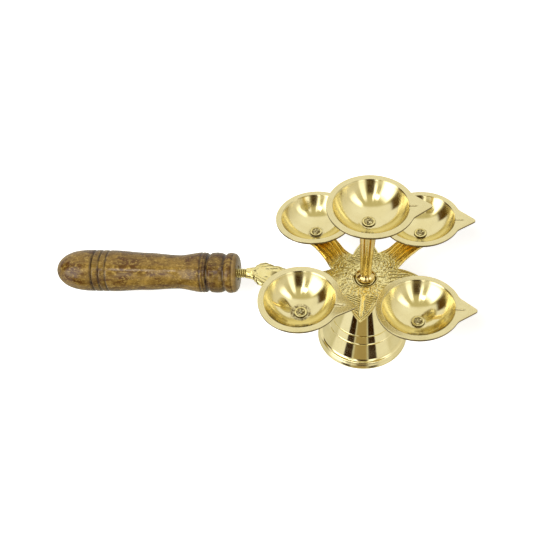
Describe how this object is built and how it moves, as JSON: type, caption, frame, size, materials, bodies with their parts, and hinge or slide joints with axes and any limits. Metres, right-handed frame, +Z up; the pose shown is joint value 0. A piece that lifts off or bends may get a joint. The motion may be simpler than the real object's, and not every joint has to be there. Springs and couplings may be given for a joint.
{
  "type": "five-cup hand oil lamp",
  "caption": "Hand-held oil lamp with spouted cups riveted to a chased star plate, a raised cup on a post, a conical hollow foot and a turned wooden handle that unscrews.",
  "frame": {"origin": "on the surface that the lamp stands on, in the middle of its length and width", "axes": "+X the way the wick spouts point, along the lamp's length, with the handle at -X; +Z up"},
  "size_m": [0.2736, 0.1262, 0.1223],
  "materials": {
    "brass_polished": "mirror polished",
    "brass_chased": "cast, chased and polished on the high spots",
    "brass_fastener": "hammered",
    "steel_zinc": "zinc plated",
    "wood_varnished": "turned and varnished"
  },
  "bodies": {
    "lamp": {"base": "brass_polished", "star_plate": "brass_chased", "post": "brass_polished", "cup_top": "brass_polished", "cup_front_left": "brass_polished", "cup_front_right": "brass_polished", "cup_back_left": "brass_polished", "cup_back_right": "brass_polished", "tie_rod": "brass_fastener", "base_washer": "steel_zinc", "base_nut": "steel_zinc", "washer_top": "brass_fastener", "washer_front_left": "brass_fastener", "washer_front_right": "brass_fastener", "washer_back_left": "brass_fastener", "washer_back_right": "brass_fastener", "rivet_front_left": "brass_fastener", "rivet_front_right": "brass_fastener", "rivet_back_left": "brass_fastener", "rivet_back_right": "brass_fastener"},
    "bush_body": {"handle_bush": "brass_fastener"},
    "handle_body": {"handle": "wood_varnished"}
  },
  "joints": [
    {"name": "handle_travel", "type": "slide", "parent": "lamp", "child": "bush_body", "axis": [-0.9966, 0, -0.0819], "range_m": [0, 0.02032]},
    {"name": "handle_turn", "type": "hinge", "parent": "bush_body", "child": "handle_body", "pos_m": [-0.0136, 0, 0.0528], "axis": [-0.9966, 0, -0.0819], "range_deg": [0, 5760]}
  ],
  "couplings": [
    {"joint": "handle_travel", "follows": "handle_turn", "m_per_rad": 0.00020213}
  ]
}
